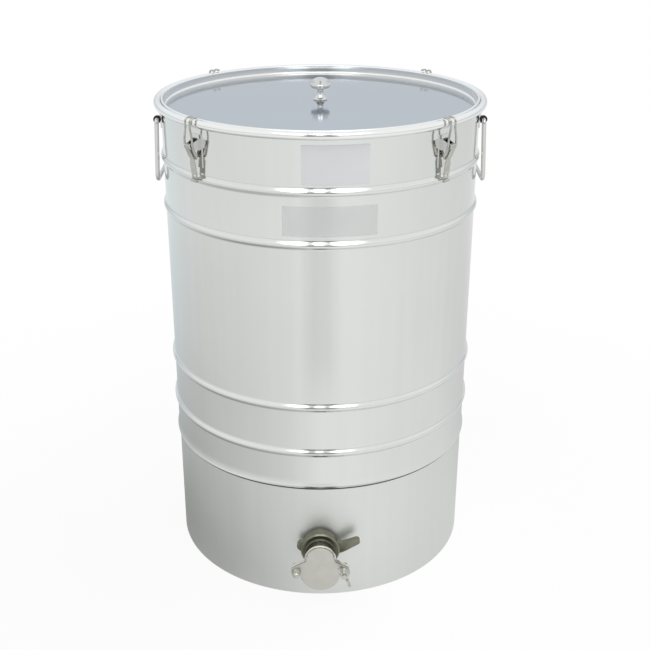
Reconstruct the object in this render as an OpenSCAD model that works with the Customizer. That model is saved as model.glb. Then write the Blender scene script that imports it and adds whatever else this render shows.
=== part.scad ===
// Honey settling tank: a beaded stainless drum with a recessed lid, four wire toggle latches,
// two drop handles and a swing gate valve at the foot. Millimetres, +Z up, valve towards -Y.

/* [Tank] */
// outside radius of the plain wall
wall_r = 250; // [200:1:320]
// thickness of the drum's sheet
sheet = 1; // [0.6:0.1:2]
// height of the rim's crown above the ground
tank_h = 775; // [600:1:1000]
// height of the lower edge of the upper shell
seam_z = 206; // [150:1:260]
// length of the upper shell's lap over the lower shell
lap_h = 22; // [10:1:40]
// height of the rolled lip at the lap
lip_h = 14; // [6:0.5:20]
// how far the lip stands out
lip_out = 2.4; // [1:0.1:5]
// height of the lowest bead
bead_a_z = 268; // [240:1:300]
// height of the second bead
bead_b_z = 347; // [310:1:380]
// depth of the third bead below the rim's crown
bead_c_drop = 166; // [140:1:200]
// depth of the highest bead below the rim's crown
bead_d_drop = 88; // [75:1:120]
// half the height of a bead
bead_half = 8; // [5:0.5:12]
// how far a bead stands out
bead_out = 4; // [2:0.25:6]
// outside radius of the rolled rim's tube
rim_tube_r = 6; // [4:0.25:9]

/* [Foot and floor] */
// height of the folded hem at the foot
hem_h = 14; // [8:1:30]
// height of the floor's edge
floor_z = 62; // [40:1:80]
// fall of the floor from its edge to its middle
floor_fall = 8; // [0:0.5:20]
// depth of the floor's turned-down flange
floor_flange = 14; // [8:1:30]

/* [Lid] */
// radius of the lid's edge bead
lid_bead_r = 2; // [1.5:0.1:3]
// distance of the edge bead's centre inside the wall's outside
lid_bead_in = 2.2; // [2:0.1:4]
// depth of the edge bead's centre below the rim's crown
lid_bead_drop = 1.8; // [0.5:0.1:4]
// sheet thickness of the lid
lid_sheet = 0.8; // [0.6:0.1:1.5]
// depth of the panel's edge below the rim's crown
pan_depth = 14.5; // [8:0.5:30]
// rise of the panel from its edge to its middle
pan_crown = 4; // [0:0.5:10]
// radius of the corner between the pan's wall and its panel
pan_corner = 4; // [2:0.5:8]
// height of the seal around the pan
lid_seal_h = 6.3; // [4:0.1:6.5]
// thickness of the seal around the pan
lid_seal_t = 1.7; // [1:0.1:2]
// height of the seal's lower edge above the panel's edge
lid_seal_drop = 4; // [3:0.25:6]

/* [Knob] */
// radius of the knob's cap
knob_r = 15.7; // [12:0.1:22]
// height of the knob
knob_h = 35; // [25:0.5:45]
// radius of the dome on the cap
knob_dome_r = 20; // [16:0.5:30]
// radius of the cap's rounded edge
knob_edge_r = 4.2; // [2:0.1:6]
// height of the cap's rounded edge above the foot
knob_edge_z = 22.5; // [15:0.5:30]
// radius of the knob's stem
knob_stem_r = 4.6; // [3:0.1:8]
// radius of the knob's foot
knob_foot_r = 11.2; // [8:0.1:16]
// height of the knob's coned foot
knob_foot_h = 9; // [4:0.5:14]
// height of the foot's straight edge
knob_foot_edge = 1.6; // [0.5:0.1:3]
// radius of the knob's screw
knob_screw_r = 2.5; // [2:0.25:4]
// depth of the screw in the knob
knob_screw_in = 14; // [8:0.5:20]
// radius of the screw's head
knob_head_r = 4.6; // [3:0.1:8]
// height of the screw's head
knob_head_h = 3; // [2:0.1:5]
// radius of the washer under the panel
knob_washer_r = 9; // [6:0.5:14]
// thickness of the washer under the panel
knob_washer_t = 1.5; // [1:0.1:3]

/* [Latches] */
// bearing of the front right latch, measured from +X
latch_turn = 45; // [30:1:60]
// distance of the lever's pin from the wall
latch_pin_u = 16; // [12:0.25:20]
// depth of the lever's pin below the rim's crown
latch_pin_drop = 37; // [30:0.5:50]
// radius of the lever's pin
latch_pin_r = 1.75; // [1:0.05:2.5]
// outside radius of the lever's barrel
barrel_r = 3.8; // [3:0.1:5]
// half the width of the lever's barrel
barrel_half = 4.6; // [3:0.1:7]
// thickness of a base ear
ear_t = 1.5; // [1:0.1:3]
// width of the base plate
base_w = 20; // [14:0.5:30]
// thickness of the base plate
base_t = 1.5; // [1:0.1:3]
// reach of the base plate above the pin
base_up = 15; // [10:0.5:20]
// reach of the base plate below the pin
base_down = 33; // [15:0.5:40]
// height of an ear's root above the pin
ear_up = 10; // [5:0.5:14]
// depth of an ear's root below the pin
ear_down = 8; // [4:0.5:14]
// half the width of an ear's web at the pin
ear_neck = 2.8; // [2:0.1:3]
// length of the lever below its pin
lever_len = 52; // [40:0.5:65]
// distance of the lever's lower end from the wall
lever_end_u = 6.8; // [6:0.1:12]
// sheet thickness of the lever
lever_t = 1.4; // [1:0.1:2.5]
// half the width of the lever's blade
lever_half = 6; // [4:0.1:6.4]
// length of the lever's narrow neck below the claw's pivot
lever_neck = 6; // [4:0.5:12]
// radius of the roll at the lever's lower end
lever_roll_r = 2.4; // [1.5:0.1:4]
// length of the slot near the lever's lower end
lever_slot_w = 7; // [4:0.5:9]
// half the height of that slot
lever_slot_r = 1.3; // [0.8:0.1:2.5]
// height of that slot above the lever's lower end
lever_slot_up = 7; // [5:0.5:12]
// distance of the claw's pivot inside the lever's pin
claw_in = 7.5; // [6:0.25:11]
// depth of the claw's pivot below the lever's pin
claw_down = 18; // [12:0.5:22]
// radius of the lever's eye around the claw's wire
claw_eye_r = 3; // [2.2:0.1:4]
// thickness of a cheek that holds the claw
cheek_t = 1.4; // [1:0.1:2.5]
// radius of the claw's wire
wire_r = 1.5; // [1:0.1:2.5]
// distance of each claw leg from the latch's middle
claw_half = 8.6; // [8.4:0.1:12]
// outward lean of the claw's cranked feet
crank_lean = 22; // [15:0.5:30]
// length of the claw's cranked feet
crank_len = 21; // [18:0.5:28]
// length of the claw's upright legs above the crank
leg_len = 9; // [6:0.5:12]
// inward turn of the claw's necks
claw_neck_turn = 13; // [5:0.5:16]
// length of the claw's necks
claw_neck_len = 16; // [10:0.5:18]
// radius of the wire at a sharp bend, as a share of its own
knee_share = 1.12; // [1.08:0.01:1.4]
// setback of the wire's runs from a sharp bend, as a share of its radius
knee_back_share = 0.3; // [0.2:0.05:0.35]
// height of the hook's wire above the rim's crown
hook_rise = 2.8; // [2:0.1:6]
// radius of the bends at the claw's foot
claw_bend_r = 3.2; // [2:0.1:5]
// radius of the hook's bend
hook_bend_r = 6; // [4:0.25:9]
// distance of the hook's tip outside the wall
hook_tip_u = 4; // [2:0.1:6]
// radius of the hook's rounded tip
hook_tip_r = 1.8; // [1:0.1:3]

/* [Handles] */
// clear gap between a handle's bush and the wall
bail_gap = 0.6; // [0.4:0.1:4]
// depth of the handle's pivot below the rim's crown
bail_drop = 31; // [25:0.5:45]
// outward lean of the hanging handle
bail_lean = 2.3; // [1.5:0.1:6]
// distance of each handle leg from the handle's middle
bail_half = 52; // [40:0.5:70]
// length of the handle from its pivot to the grip
bail_len = 99; // [70:1:130]
// radius of the handle's rod
bail_r = 3.5; // [3:0.1:5]
// radius of the handle's lower bends
bail_bend_r = 13; // [8:0.5:25]
// radius of the handle's upper bends
bail_top_r = 5.5; // [5:0.1:8]
// length of the rod's end behind its lug
bail_end = 1.5; // [0.5:0.1:4]
// outside radius of a bush's head
bush_r = 6; // [5:0.1:8]
// thickness of a bush's head
bush_head = 2.4; // [1:0.1:4]
// wall thickness of a bush's sleeve
bush_wall = 0.7; // [0.5:0.1:1.2]
// thickness of a lug
lug_t = 5; // [3:0.25:8]
// radius of a lug's eye
lug_r = 5.7; // [5.6:0.1:9]
// thickness of a lug's foot
lug_foot_t = 2; // [1:0.1:4]
// width of a lug's foot
lug_foot_w = 12; // [8:0.5:20]
// reach of a lug's foot above and below the pivot
lug_foot_half = 14; // [8:0.5:17]
// set-back of a lug's foot from the lug's outer face
lug_foot_back = 0.5; // [0.2:0.1:2]

/* [Outlet and valve] */
// height of the outlet's axis
valve_z = 98; // [90:1:130]
// radius of the outlet's bore
bore_r = 17.5; // [14:0.25:20]
// outside radius of the valve's threaded tail
tail_r = 23.9; // [20:0.1:27]
// outside radius of the welded socket
socket_out_r = 28.5; // [27:0.25:36]
// reach of the socket inside the drum
socket_in = 24; // [10:1:40]
// reach of the socket in front of the drum's wall
socket_front = 2; // [1:0.25:5]
// thickness of the ring seal behind the lock nut
ring_seal_t = 2.6; // [1:0.1:4]
// outside radius of the ring seal
ring_seal_r = 27.5; // [26:0.25:32]
// thickness of the lock nut
nut_t = 14; // [8:0.5:20]
// outside radius of the lock nut
nut_r = 31; // [28:0.25:40]
// chamfer of the lock nut
nut_chamfer = 2; // [0.5:0.25:4]
// distance of the lever's elbow from the nut's axis
arm_elbow_x = 36; // [32:0.5:48]
// height of the lever's elbow above the nut's axis
arm_elbow_z = 5; // [0:0.5:12]
// radius of the lever's elbow
arm_elbow_r = 8; // [6:0.1:12]
// distance of the lever's end from the nut's axis
arm_end_x = 58; // [45:0.5:80]
// height of the lever's end above the nut's axis
arm_end_z = 15.5; // [0:0.5:24]
// radius of the lever's end
arm_end_r = 5.4; // [4:0.1:10]
// radius of the lever's root
arm_root_r = 18; // [12:0.5:24]
// thickness of the lock nut's lever
arm_t = 8; // [5:0.5:14]
// distance of the nut's stub from its axis
stub_x = 29; // [24:0.5:34]
// height of the nut's stub above its axis
stub_z = 7; // [0:0.5:14]
// radius of the nut's stub
stub_r = 8.4; // [6:0.1:12]
// length of tail that shows in front of the lock nut
tail_show = 6; // [3:0.5:12]
// radius of the valve's neck
neck_r = 20.6; // [19:0.1:23]
// length of the valve's neck
neck_len = 13; // [8:0.5:25]
// thickness of the valve's flange
flange_t = 5; // [3:0.25:8]
// radius of the flange's round head
head_r = 25; // [24:0.25:34]
// radius of the flange's round skirt
lobe_r = 32; // [28:0.5:36]
// depth of the skirt's centre below the bore's axis
lobe_drop = 24; // [18:0.5:30]
// distance of each ear's stud from the valve's middle
ear_x = 38; // [34:0.5:48]
// depth of the ears below the bore's axis
ear_drop = 19; // [10:0.5:26]
// radius of a flange ear
flange_ear_r = 9; // [7:0.25:12]
// radius of the flange where its ears spring
ear_root_r = 16; // [10:0.5:22]
// depth of the ears' springing below the bore's axis
ear_root_drop = 6; // [0:0.5:12]
// inside radius of the gate's seal
gate_seal_r = 19; // [18:0.1:22]
// width of the gate's seal
gate_seal_w = 2.6; // [1.5:0.1:4]
// depth of the gate seal's groove
gate_seal_d = 2; // [1:0.1:3]
// how far the gate's seal stands out of its groove
gate_seal_out = 0.3; // [0.1:0.05:0.5]
// thickness of the gate
gate_t = 3.5; // [2:0.25:6]
// how far the gate's outline lies inside the flange's
gate_inset = 0.8; // [0:0.1:2]
// turn of the gate's open slot
gate_slot_turn = 26; // [18:1:40]
// radius of the studs
stud_r = 4; // [3:0.25:5]
// distance across the flats of the studs' hexagons
hex_af = 13; // [10:0.5:17]
// height of a stud's head
stud_head_h = 5.3; // [4:0.1:8]
// thickness of the pivot's spring washer
spring_washer_t = 1.6; // [1:0.1:3]
// radius of the pivot's spring washer
spring_washer_r = 7.4; // [6:0.1:10]
// height of the cap nut's hexagon
cap_nut_h = 6.5; // [5:0.25:9]
// radius of the cap nut's dome
cap_dome_r = 5.6; // [4.5:0.1:6.4]
// thickness of the clamp's washer
clamp_washer_t = 1.6; // [1:0.1:3]
// radius of the clamp's washer
clamp_washer_r = 9; // [8:0.1:12]
// height of the wing nut's hub
wing_hub_h = 10; // [8:0.25:14]
// radius of the wing nut's hub at its foot
wing_hub_r = 8.4; // [7:0.1:11]
// radius of the wing nut's hub at its top
wing_top_r = 6.8; // [5.5:0.1:9]
// distance of each wing's end from the nut's axis
wing_x = 14.6; // [10:0.1:20]
// height of each wing's end above the nut's foot
wing_y = 13.6; // [10:0.1:20]
// radius of each wing's end
wing_r = 4.6; // [3:0.1:7]
// radius of each wing's root
wing_root_r = 3.4; // [2:0.1:6]
// distance of each wing's root from the nut's axis
wing_root_x = 6.4; // [5.5:0.1:9]
// thickness of a wing
wing_t = 3; // [2:0.1:5]
// resting turn of the wing nut
wing_turn = 62; // [0:1:180]
// length of stud that shows in front of the wing nut's hub
stud_show = 3; // [0:0.25:8]

/* [Label] */
// thickness of the blank label and the clear sticker
label_t = 0.25; // [0.1:0.05:0.5]
// left edge of the label
label_left = -27; // [-60:1:0]
// right edge of the label
label_right = 70; // [20:1:90]
// lower edge of the label below the rim's crown
label_low = 78; // [60:1:79]
// upper edge of the label below the rim's crown
label_high = 20; // [16:1:40]
// left edge of the sticker
sticker_left = -55; // [-90:1:0]
// right edge of the sticker
sticker_right = 83; // [20:1:120]
// lower edge of the sticker below the rim's crown
sticker_low = 153; // [120:1:156]
// upper edge of the sticker below the rim's crown
sticker_high = 108; // [97:1:118]

/* [Fits] */
// radial clearance of a turning fit
run_fit = 0.06; // [0.02:0.01:0.1]
// clearance of a fixed fit
seat_fit = 0.05; // [0.01:0.01:0.1]
// clear gap between pieces that move past each other
clear_gap = 0.4; // [0.3:0.05:0.8]
// overrun of cuts
over = 3; // [1:0.5:8]

/* [Hidden] */
$fn = 64;

steel = [0.80, 0.81, 0.82];
dull_steel = [0.62, 0.62, 0.60];
dark_cast = [0.33, 0.32, 0.28];
black = [0.06, 0.06, 0.06];
rubber = [0.20, 0.20, 0.20];
paper = [0.95, 0.95, 0.94];
film = [0.88, 0.89, 0.88];

bead_zs = [bead_a_z, bead_b_z, tank_h - bead_c_drop, tank_h - bead_d_drop];
bead_steps = 14;
lip_steps = 10;
curl_steps = 40;
curl_end = 320;
curl_mid_r = rim_tube_r - sheet / 2;
curl_x = wall_r - sheet / 2 + curl_mid_r;
curl_z = tank_h - rim_tube_r;

lower_r = wall_r - sheet - seat_fit;
lower_top = seam_z + lap_h;
hem_in_r = lower_r - 2 * sheet - seat_fit;
floor_r = lower_r - sheet - seat_fit;

lid_bead_x = wall_r - lid_bead_in;
lid_bead_z = tank_h - lid_bead_drop;
pan_r = lid_bead_x - lid_bead_r / 2;
pan_z = tank_h - pan_depth;
pan_steps = 24;
corner_steps = 8;
knob_z = pan_z + pan_crown;

latch_pin_x = wall_r + latch_pin_u;
latch_pin_z = tank_h - latch_pin_drop;
claw_x = latch_pin_x - claw_in;
claw_z = latch_pin_z - claw_down;
lever_top_x = latch_pin_x + barrel_r - lever_t / 2;
lever_end_x = wall_r + lever_end_u;
lever_end_z = latch_pin_z - lever_len;
ear_in = barrel_half + clear_gap;
ear_out = ear_in + ear_t;
latch_pin_half = ear_out + seat_fit;
hook_z = tank_h + hook_rise;
knee_r = wire_r * knee_share;
knee_back = wire_r * knee_back_share;
leg_x = claw_x + crank_len * sin(crank_lean);
shoulder_z = claw_z + crank_len * cos(crank_lean) + leg_len + claw_neck_len * cos(claw_neck_turn);
hook_up = hook_z - hook_bend_r - shoulder_z;
hook_run = leg_x - hook_bend_r - wall_r - hook_tip_u;

bail_z = tank_h - bail_drop;
bush_y = bail_half - bail_top_r - clear_gap;
lug_out_y = bush_y - bush_head - seat_fit;
lug_in_y = lug_out_y - lug_t;
bail_x = sqrt(pow(wall_r, 2) - pow(lug_out_y, 2)) + bush_r + bail_gap;
sleeve_r = bail_r + bush_wall;

front_y = -lower_r;
socket_y = front_y - socket_front;
nut_back_y = socket_y - ring_seal_t;
nut_front_y = nut_back_y - nut_t;
tail_front_y = nut_front_y - tail_show;
flange_back_y = tail_front_y - neck_len;
flange_y = flange_back_y - flange_t;
gate_back_y = flange_y - gate_seal_out - clear_gap;
gate_y = gate_back_y - gate_t;
clamp_y = gate_y - clear_gap;
wing_foot_y = clamp_y - clamp_washer_t - seat_fit;
tail_back_y = front_y + socket_in;
ear_z = valve_z - ear_drop;
stud_hole_r = stud_r + run_fit;
hex_r = hex_af / sqrt(3);

// Shared drawing helpers

function polar(c, r, a) = [c[0] + r * cos(a), c[1] + r * sin(a)];

module disc(c, r) {
    translate(c)
        circle(r = r);
}

// Flat link: two round ends joined by their outer tangents.
module link(p, pr, q, qr) {
    a = atan2(q[1] - p[1], q[0] - p[0]);
    off = acos((pr - qr) / norm(q - p));
    disc(p, pr);
    disc(q, qr);
    polygon([polar(p, pr, a + off), polar(q, qr, a + off), polar(q, qr, a - off), polar(p, pr, a - off)]);
}

// Plate drawn in the XZ plane, from y0 forward to y1 behind.
module plate(y0, y1) {
    translate([0, y1, 0])
        rotate([90, 0, 0])
            linear_extrude(height = y1 - y0)
                children();
}

// Round bar along Y.
module bar_y(x, z, r, y0, y1) {
    translate([x, y1, z])
        rotate([90, 0, 0])
            cylinder(r = r, h = y1 - y0);
}

// Hexagonal bar along Y.
module hex_y(x, z, y0, y1) {
    translate([x, y1, z])
        rotate([90, 0, 0])
            cylinder(r = hex_r, h = y1 - y0, $fn = 6);
}

// Curved plate lying on a drum of radius r, between two arc lengths.
module skin(r, t, left, right, low, high) {
    rotate([0, 0, -90 + left / r * 180 / PI])
        rotate_extrude(angle = (right - left) / r * 180 / PI)
            translate([r, low])
                square([t, high - low]);
}

// Drum and floor

function bump(f) = bead_out * (1 - cos(360 * f)) / 2;

function bead_side(r) = [for (z = bead_zs) for (i = [0 : bead_steps])
    [r + bump(i / bead_steps), z - bead_half + 2 * bead_half * i / bead_steps]];

function lip_side(r) = [for (i = [0 : lip_steps])
    [r + lip_out * (1 + cos(180 * i / lip_steps)) / 2, seam_z + lip_h * i / lip_steps]];

function curl_side(r) = [for (i = [0 : curl_steps])
    polar([curl_x, curl_z], r, 180 - curl_end * i / curl_steps)];

function turned(list) = [for (i = [len(list) - 1 : -1 : 0]) list[i]];

module upper_shell() {
    color(steel)
        rotate_extrude()
            polygon(concat(lip_side(wall_r), bead_side(wall_r), curl_side(rim_tube_r - sheet),
                           turned(curl_side(rim_tube_r)), turned(bead_side(wall_r - sheet)),
                           turned(lip_side(wall_r - sheet))));
}

module rim_wire() {
    color(dull_steel)
        rotate_extrude()
            disc([curl_x, curl_z], rim_tube_r - sheet - seat_fit);
}

module lower_shell() {
    color(steel)
        difference() {
            rotate_extrude()
                polygon([[hem_in_r, 0], [lower_r, 0], [lower_r, lower_top], [lower_r - sheet, lower_top],
                         [lower_r - sheet, sheet], [hem_in_r + sheet, sheet], [hem_in_r + sheet, hem_h],
                         [hem_in_r, hem_h]]);
            bar_y(0, valve_z, socket_out_r + seat_fit, front_y - over, front_y + socket_in);
        }
}

function floor_top(f) = floor_z - floor_fall * (1 - f * f);

module tank_floor() {
    color(steel)
        rotate_extrude()
            polygon(concat([for (i = [0 : pan_steps]) [floor_r * i / pan_steps, floor_top(i / pan_steps)]],
                           [[floor_r, floor_z - floor_flange], [floor_r - sheet, floor_z - floor_flange]],
                           [for (i = [pan_steps : -1 : 0])
                               [(floor_r - sheet) * i / pan_steps, floor_top(i / pan_steps) - sheet]]));
}

// Lid

function panel_z(f) = pan_crown * (1 - f * f);

// One face of the pan: down the wall, round the corner and over the crowned panel.
function pan_face(wall, bend, low) = concat(
    [[wall, lid_bead_z]],
    [for (i = [0 : corner_steps])
        polar([pan_r - pan_corner, pan_z + pan_corner], bend, -90 * i / corner_steps)],
    [for (i = [pan_steps - 1 : -1 : 0])
        [(pan_r - pan_corner) * i / pan_steps, low + panel_z(i / pan_steps)]]);

module lid_pan() {
    color(steel)
        difference() {
            union() {
                rotate_extrude()
                    disc([lid_bead_x, lid_bead_z], lid_bead_r);
                rotate_extrude()
                    polygon(concat(pan_face(pan_r, pan_corner, pan_z),
                                   turned(pan_face(pan_r - lid_sheet, pan_corner - lid_sheet,
                                                   pan_z + lid_sheet))));
            }
            translate([0, 0, pan_z - over])
                cylinder(r = knob_screw_r + seat_fit, h = pan_depth);
        }
}

module lid_seal() {
    color(rubber)
        rotate_extrude()
            translate([pan_r + seat_fit, pan_z + lid_seal_drop])
                square([lid_seal_t, lid_seal_h]);
}

module lid_knob() {
    color(steel)
        translate([0, 0, knob_z + lid_sheet + seat_fit])
            difference() {
                union() {
                    cylinder(r = knob_foot_r, h = knob_foot_edge);
                    translate([0, 0, knob_foot_edge])
                        cylinder(r1 = knob_foot_r, r2 = knob_stem_r, h = knob_foot_h - knob_foot_edge);
                    cylinder(r = knob_stem_r, h = knob_edge_z);
                    rotate_extrude()
                        disc([knob_r - knob_edge_r, knob_edge_z], knob_edge_r);
                    translate([0, 0, knob_edge_z - knob_edge_r])
                        cylinder(r = knob_r - knob_edge_r, h = knob_edge_r);
                    intersection() {
                        translate([0, 0, knob_h - knob_dome_r])
                            sphere(r = knob_dome_r);
                        translate([0, 0, knob_edge_z])
                            cylinder(r = knob_r - knob_edge_r / 2, h = knob_h);
                    }
                }
                translate([0, 0, -over])
                    cylinder(r = knob_screw_r + seat_fit, h = knob_screw_in + seat_fit + over);
            }
}

module knob_washer() {
    color(dull_steel)
        translate([0, 0, knob_z - knob_washer_t - seat_fit])
            difference() {
                cylinder(r = knob_washer_r, h = knob_washer_t);
                translate([0, 0, -over])
                    cylinder(r = knob_screw_r + seat_fit, h = knob_washer_t + 2 * over);
            }
}

module knob_screw() {
    head_z = knob_z - knob_washer_t - 2 * seat_fit;
    color(dull_steel) {
        translate([0, 0, head_z - knob_head_h])
            cylinder(r = knob_head_r, h = knob_head_h);
        translate([0, 0, head_z - seat_fit])
            cylinder(r = knob_screw_r, h = knob_z + lid_sheet + knob_screw_in - head_z);
    }
}

// Latches, drawn on the +X side of the drum and turned to their places

module at_latch(place) {
    turns = [180 + latch_turn, -latch_turn, 180 - latch_turn, latch_turn];
    rotate([0, 0, turns[place]])
        children();
}

module latch_base(place) {
    color(steel)
        at_latch(place) {
            skin_turn = base_w / wall_r * 180 / PI;
            rotate([0, 0, -skin_turn / 2])
                rotate_extrude(angle = skin_turn)
                    translate([wall_r, latch_pin_z - base_down])
                        square([base_t, base_up + base_down]);
            for (side = [-1, 1])
                difference() {
                    union() {
                        bar_y(latch_pin_x, latch_pin_z, barrel_r, side < 0 ? -ear_out : ear_in,
                              side < 0 ? -ear_in : ear_out);
                        plate(side < 0 ? -ear_out : ear_in, side < 0 ? -ear_in : ear_out)
                            polygon([[latch_pin_x, latch_pin_z + ear_neck], [latch_pin_x, latch_pin_z - ear_neck],
                                     [wall_r + base_t / 2, latch_pin_z - ear_down],
                                     [wall_r + base_t / 2, latch_pin_z + ear_up]]);
                    }
                    bar_y(latch_pin_x, latch_pin_z, latch_pin_r + seat_fit, -ear_out - over, ear_out + over);
                }
        }
}

module latch_pins() {
    color(dark_cast)
        for (place = [0 : 3])
            at_latch(place)
                bar_y(latch_pin_x, latch_pin_z, latch_pin_r, -latch_pin_half, latch_pin_half);
}

module latch_lever(place) {
    pin = [latch_pin_x, latch_pin_z];
    eye = [claw_x, claw_z];
    out = [pin[1] - eye[1], eye[0] - pin[0]] / norm(pin - eye);
    knee = eye + out * (claw_eye_r - lever_t / 2);
    end = [lever_end_x, lever_end_z];
    down = (end - knee) / norm(end - knee);
    neck = knee + down * lever_neck;
    slot = end - down * lever_slot_up;
    color(dull_steel)
        at_latch(place)
            difference() {
                union() {
                    bar_y(pin[0], pin[1], barrel_r, -barrel_half, barrel_half);
                    plate(-barrel_half, barrel_half) {
                        link(pin + out * (barrel_r - lever_t / 2), lever_t / 2, knee, lever_t / 2);
                        link(knee, lever_t / 2, neck, lever_t / 2);
                    }
                    plate(-lever_half, lever_half)
                        link(neck, lever_t / 2, end, lever_t / 2);
                    bar_y(end[0] + lever_roll_r - lever_t / 2, end[1], lever_roll_r, -lever_half, lever_half);
                    for (side = [-1, 1])
                        plate(side < 0 ? -barrel_half : barrel_half - cheek_t,
                              side < 0 ? cheek_t - barrel_half : barrel_half)
                            link(pin, barrel_r, eye, claw_eye_r);
                }
                bar_y(pin[0], pin[1], latch_pin_r + run_fit, -lever_half - over, lever_half + over);
                bar_y(eye[0], eye[1], wire_r + run_fit, -lever_half - over, lever_half + over);
                translate([slot[0] - over, 0, slot[1]])
                    rotate([90, 0, 90])
                        linear_extrude(height = 2 * over)
                            link([lever_slot_r - lever_slot_w / 2, 0], lever_slot_r,
                                 [lever_slot_w / 2 - lever_slot_r, 0], lever_slot_r);
            }
}

// A knuckle and a straight run of the claw's wire; what follows starts at the run's end.
module claw_run(len) {
    sphere(r = knee_r);
    translate([0, 0, knee_back])
        cylinder(r = wire_r, h = len - 2 * knee_back);
    translate([0, 0, len])
        children();
}

// The hook on the claw's shoulder: a last run, a bend over the rim and a rounded tip.
module claw_hook() {
    sphere(r = knee_r);
    translate([0, 0, knee_back])
        cylinder(r = wire_r, h = hook_up - knee_back);
    translate([-hook_bend_r, 0, hook_up]) {
        rotate([90, 0, 0])
            rotate_extrude(angle = 90)
                disc([hook_bend_r, 0], wire_r);
        translate([0, 0, hook_bend_r])
            rotate([0, -90, 0])
                cylinder(r = wire_r, h = hook_run);
        translate([-hook_run, 0, hook_bend_r])
            sphere(r = hook_tip_r);
    }
}

// One wire: a bar in the lever, cranked feet, upright legs, necks that draw in, and two hooks.
module latch_claw(place) {
    color(steel)
        at_latch(place)
            translate([claw_x, 0, claw_z])
                rotate([0, crank_lean, 0]) {
                    bar_y(0, 0, wire_r, claw_bend_r - claw_half, claw_half - claw_bend_r);
                    for (side = [-1, 1]) {
                        translate([0, side * (claw_half - claw_bend_r), claw_bend_r])
                            rotate([0, 90, 0])
                                rotate([0, 0, side < 0 ? -90 : 0])
                                    rotate_extrude(angle = 90)
                                        disc([claw_bend_r, 0], wire_r);
                        translate([0, side * claw_half, claw_bend_r])
                            cylinder(r = wire_r, h = crank_len - claw_bend_r - knee_back);
                        translate([0, side * claw_half, crank_len])
                            rotate([0, -crank_lean, 0])
                                claw_run(leg_len)
                                    rotate([side * claw_neck_turn, 0, 0])
                                        claw_run(claw_neck_len)
                                            rotate([-side * claw_neck_turn, 0, 0])
                                                claw_hook();
                    }
                }
}

// Handles, drawn on the +X side and turned for the left

module at_side(left) {
    rotate([0, 0, left ? 180 : 0])
        children();
}

// Hanging frame of a handle: its pivot at the origin, leaned outward.
module at_bail(left) {
    at_side(left)
        translate([bail_x, 0, bail_z])
            rotate([0, -bail_lean, 0])
                children();
}

module bail(left) {
    low = bail_r - bail_len;
    color(steel)
        at_bail(left) {
            for (side = [-1, 1]) {
                translate([0, side * bail_half, low + bail_bend_r])
                    cylinder(r = bail_r, h = -bail_top_r - low - bail_bend_r);
                translate([0, side * (bail_half - bail_bend_r), low + bail_bend_r])
                    rotate([0, 90, 0])
                        rotate([0, 0, side < 0 ? -90 : 0])
                            rotate_extrude(angle = 90)
                                disc([bail_bend_r, 0], bail_r);
                translate([0, side * (bail_half - bail_top_r), -bail_top_r])
                    rotate([0, 90, 0])
                        rotate([0, 0, side < 0 ? 180 : 90])
                            rotate_extrude(angle = 90)
                                disc([bail_top_r, 0], bail_r);
                bar_y(0, 0, bail_r, side < 0 ? bail_top_r - bail_half : lug_in_y - bail_end,
                      side < 0 ? bail_end - lug_in_y : bail_half - bail_top_r);
            }
            bar_y(0, low, bail_r, bail_bend_r - bail_half, bail_half - bail_bend_r);
        }
}

module bushes(left) {
    color(black)
        at_bail(left)
            for (side = [0, 180])
                rotate([0, 0, side])
                    difference() {
                        union() {
                            bar_y(0, 0, bush_r, bush_y - bush_head, bush_y);
                            bar_y(0, 0, sleeve_r, lug_in_y, bush_y - bush_head);
                        }
                        bar_y(0, 0, bail_r + run_fit, lug_in_y - over, bush_y + over);
                    }
}

module lugs(left) {
    foot_turn = lug_foot_w / wall_r * 180 / PI;
    foot_from = asin((lug_out_y - lug_foot_back) / (wall_r + lug_foot_t));
    color(dull_steel)
        at_side(left)
            for (side = [-1, 1])
                difference() {
                    union() {
                        rotate([0, 0, side < 0 ? -foot_from : foot_from - foot_turn])
                            rotate_extrude(angle = foot_turn)
                                translate([wall_r, bail_z - lug_foot_half])
                                    square([lug_foot_t, 2 * lug_foot_half]);
                        plate(side < 0 ? -lug_out_y : lug_in_y, side < 0 ? -lug_in_y : lug_out_y) {
                            disc([bail_x, bail_z], lug_r);
                            translate([wall_r - lug_t, bail_z - lug_r])
                                square([bail_x - wall_r + lug_t, 2 * lug_r]);
                        }
                    }
                    bar_y(bail_x, bail_z, sleeve_r + seat_fit, side < 0 ? -lug_out_y - over : lug_in_y - over,
                          side < 0 ? over - lug_in_y : lug_out_y + over);
                    translate([0, 0, bail_z - lug_foot_half - over])
                        cylinder(r = wall_r, h = 2 * lug_foot_half + 2 * over);
                }
}

// Outlet and valve

module ring_y(out_r, in_r, y0, y1) {
    difference() {
        bar_y(0, valve_z, out_r, y0, y1);
        bar_y(0, valve_z, in_r, y0 - over, y1 + over);
    }
}

module outlet_socket() {
    color(steel)
        ring_y(socket_out_r, tail_r + seat_fit, socket_y, tail_back_y);
}

module outlet_seal() {
    color(rubber)
        ring_y(ring_seal_r, tail_r + seat_fit, nut_back_y + seat_fit, socket_y - seat_fit);
}

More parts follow.
